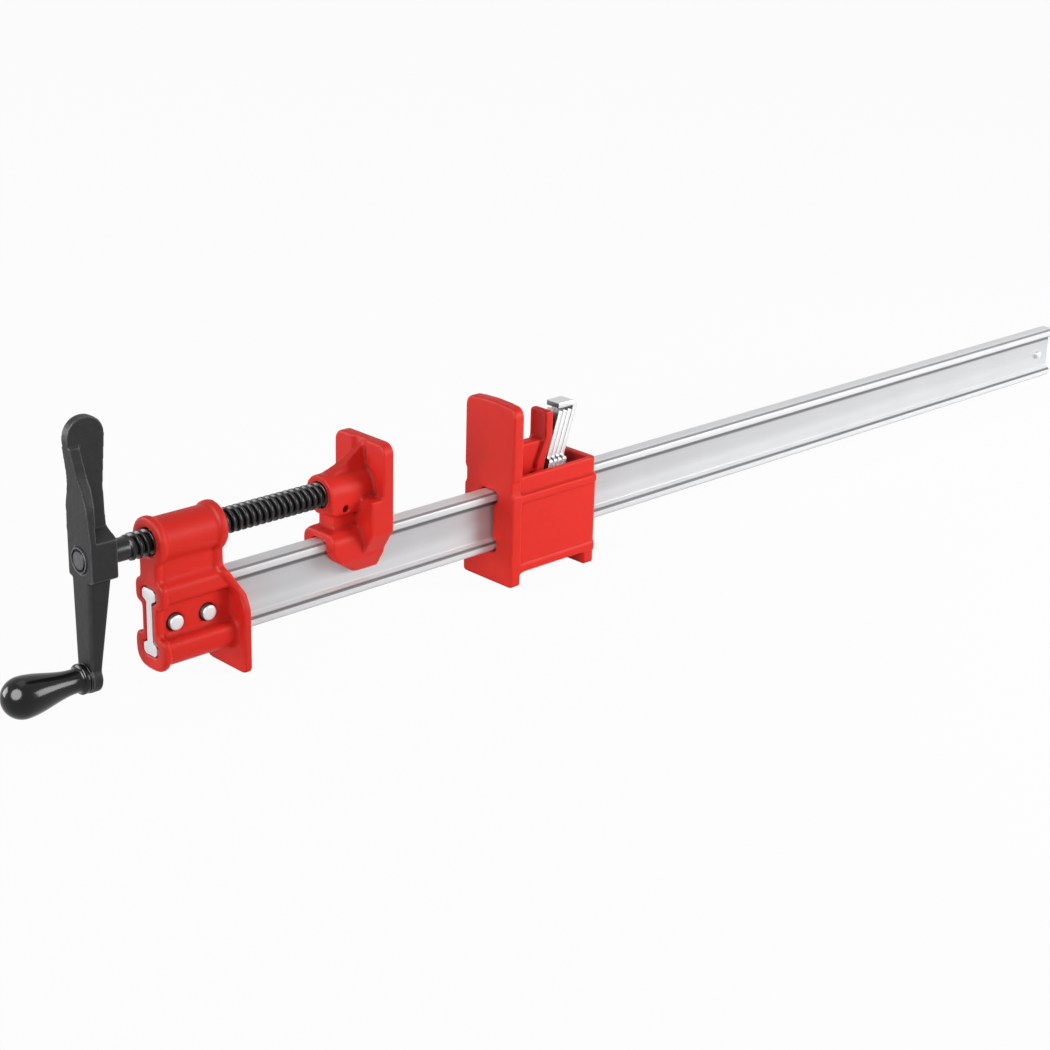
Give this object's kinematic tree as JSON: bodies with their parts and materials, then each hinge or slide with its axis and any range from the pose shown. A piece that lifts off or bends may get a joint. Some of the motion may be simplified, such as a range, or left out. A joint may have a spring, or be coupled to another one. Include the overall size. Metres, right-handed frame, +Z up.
{
  "type": "door clamp",
  "caption": "Long bench clamp on an I-section steel rail: a cranked screw drives a red jaw towards a sliding red stop head that locks with a tilting plate clutch.",
  "frame": {"origin": "centre of the underside of the fixed head's foot plate, on the surface that the clamp stands on", "axes": "+X along the rail from the crank towards its free end, +Z up, Y across the rail with Y = 0 at its mid-plane"},
  "size_m": [0.8845, 0.0408, 0.1525],
  "materials": {
    "rail_steel": "bright drawn steel, zinc plated",
    "pin_steel": "zinc plated",
    "casting_paint": "glossy red paint on cast iron",
    "crank_paint": "satin black paint on a steel forging",
    "screw_steel": "oiled black oxide",
    "knob_plastic": "glossy black",
    "plate_zinc": "bright zinc plate",
    "spring_steel": "oiled spring wire"
  },
  "bodies": {
    "rail_frame": {"rail": "rail_steel", "rail_stop_pin": "pin_steel", "fixed_head": "casting_paint", "head_pin_front": "pin_steel", "head_pin_rear": "pin_steel"},
    "jaw": {"moving_jaw": "casting_paint", "jaw_pin": "screw_steel", "thrust_disc": "pin_steel"},
    "screw": {"spindle": "screw_steel", "crank_arm": "crank_paint", "crank_pin": "screw_steel", "knob_axle": "pin_steel", "knob_washer": "screw_steel"},
    "knob": {"crank_knob": "knob_plastic"},
    "stop_head": {"sliding_head": "casting_paint", "clutch_spring": "spring_steel"},
    "plate_1": {"clutch_plate_1": "plate_zinc"},
    "plate_2": {"clutch_plate_2": "plate_zinc"},
    "plate_3": {"clutch_plate_3": "plate_zinc"},
    "plate_4": {"clutch_plate_4": "plate_zinc"}
  },
  "joints": [
    {"name": "jaw_slide", "type": "slide", "parent": "rail_frame", "child": "jaw", "axis": [1, 0, 0], "range_m": [-0.0481, 0.0181]},
    {"name": "spindle_turn", "type": "hinge", "parent": "jaw", "child": "screw", "pos_m": [-0.0717, 0, 0.08], "axis": [1, 0, 0], "range_deg": [-4320, 1620]},
    {"name": "knob_turn", "type": "hinge", "parent": "screw", "child": "knob", "pos_m": [-0.0882, 0, 0.018], "axis": [1, 0, 0], "continuous": true},
    {"name": "head_slide", "type": "slide", "parent": "rail_frame", "child": "stop_head", "axis": [1, 0, 0], "range_m": [-0.067, 0.4825]},
    {"name": "plate_1_tilt", "type": "hinge", "parent": "stop_head", "child": "plate_1", "pos_m": [0.2247, 0, 0.064], "axis": [0, 1, 0], "range_deg": [-5, 0]},
    {"name": "plate_2_tilt", "type": "hinge", "parent": "stop_head", "child": "plate_2", "pos_m": [0.2283, 0, 0.064], "axis": [0, 1, 0], "range_deg": [-5, 0]},
    {"name": "plate_3_tilt", "type": "hinge", "parent": "stop_head", "child": "plate_3", "pos_m": [0.2319, 0, 0.064], "axis": [0, 1, 0], "range_deg": [-5, 0]},
    {"name": "plate_4_tilt", "type": "hinge", "parent": "stop_head", "child": "plate_4", "pos_m": [0.2355, 0, 0.064], "axis": [0, 1, 0], "range_deg": [-5, 0], "stiffness_Nm_per_rad": 1.2, "springref_deg": 6.88, "deforming": ["clutch_spring"]}
  ],
  "couplings": [
    {"joint": "jaw_slide", "follows": "spindle_turn", "m_per_rad": 0.00063662},
    {"joint": "plate_1_tilt", "follows": "plate_4_tilt", "ratio": 1},
    {"joint": "plate_2_tilt", "follows": "plate_4_tilt", "ratio": 1},
    {"joint": "plate_3_tilt", "follows": "plate_4_tilt", "ratio": 1}
  ]
}
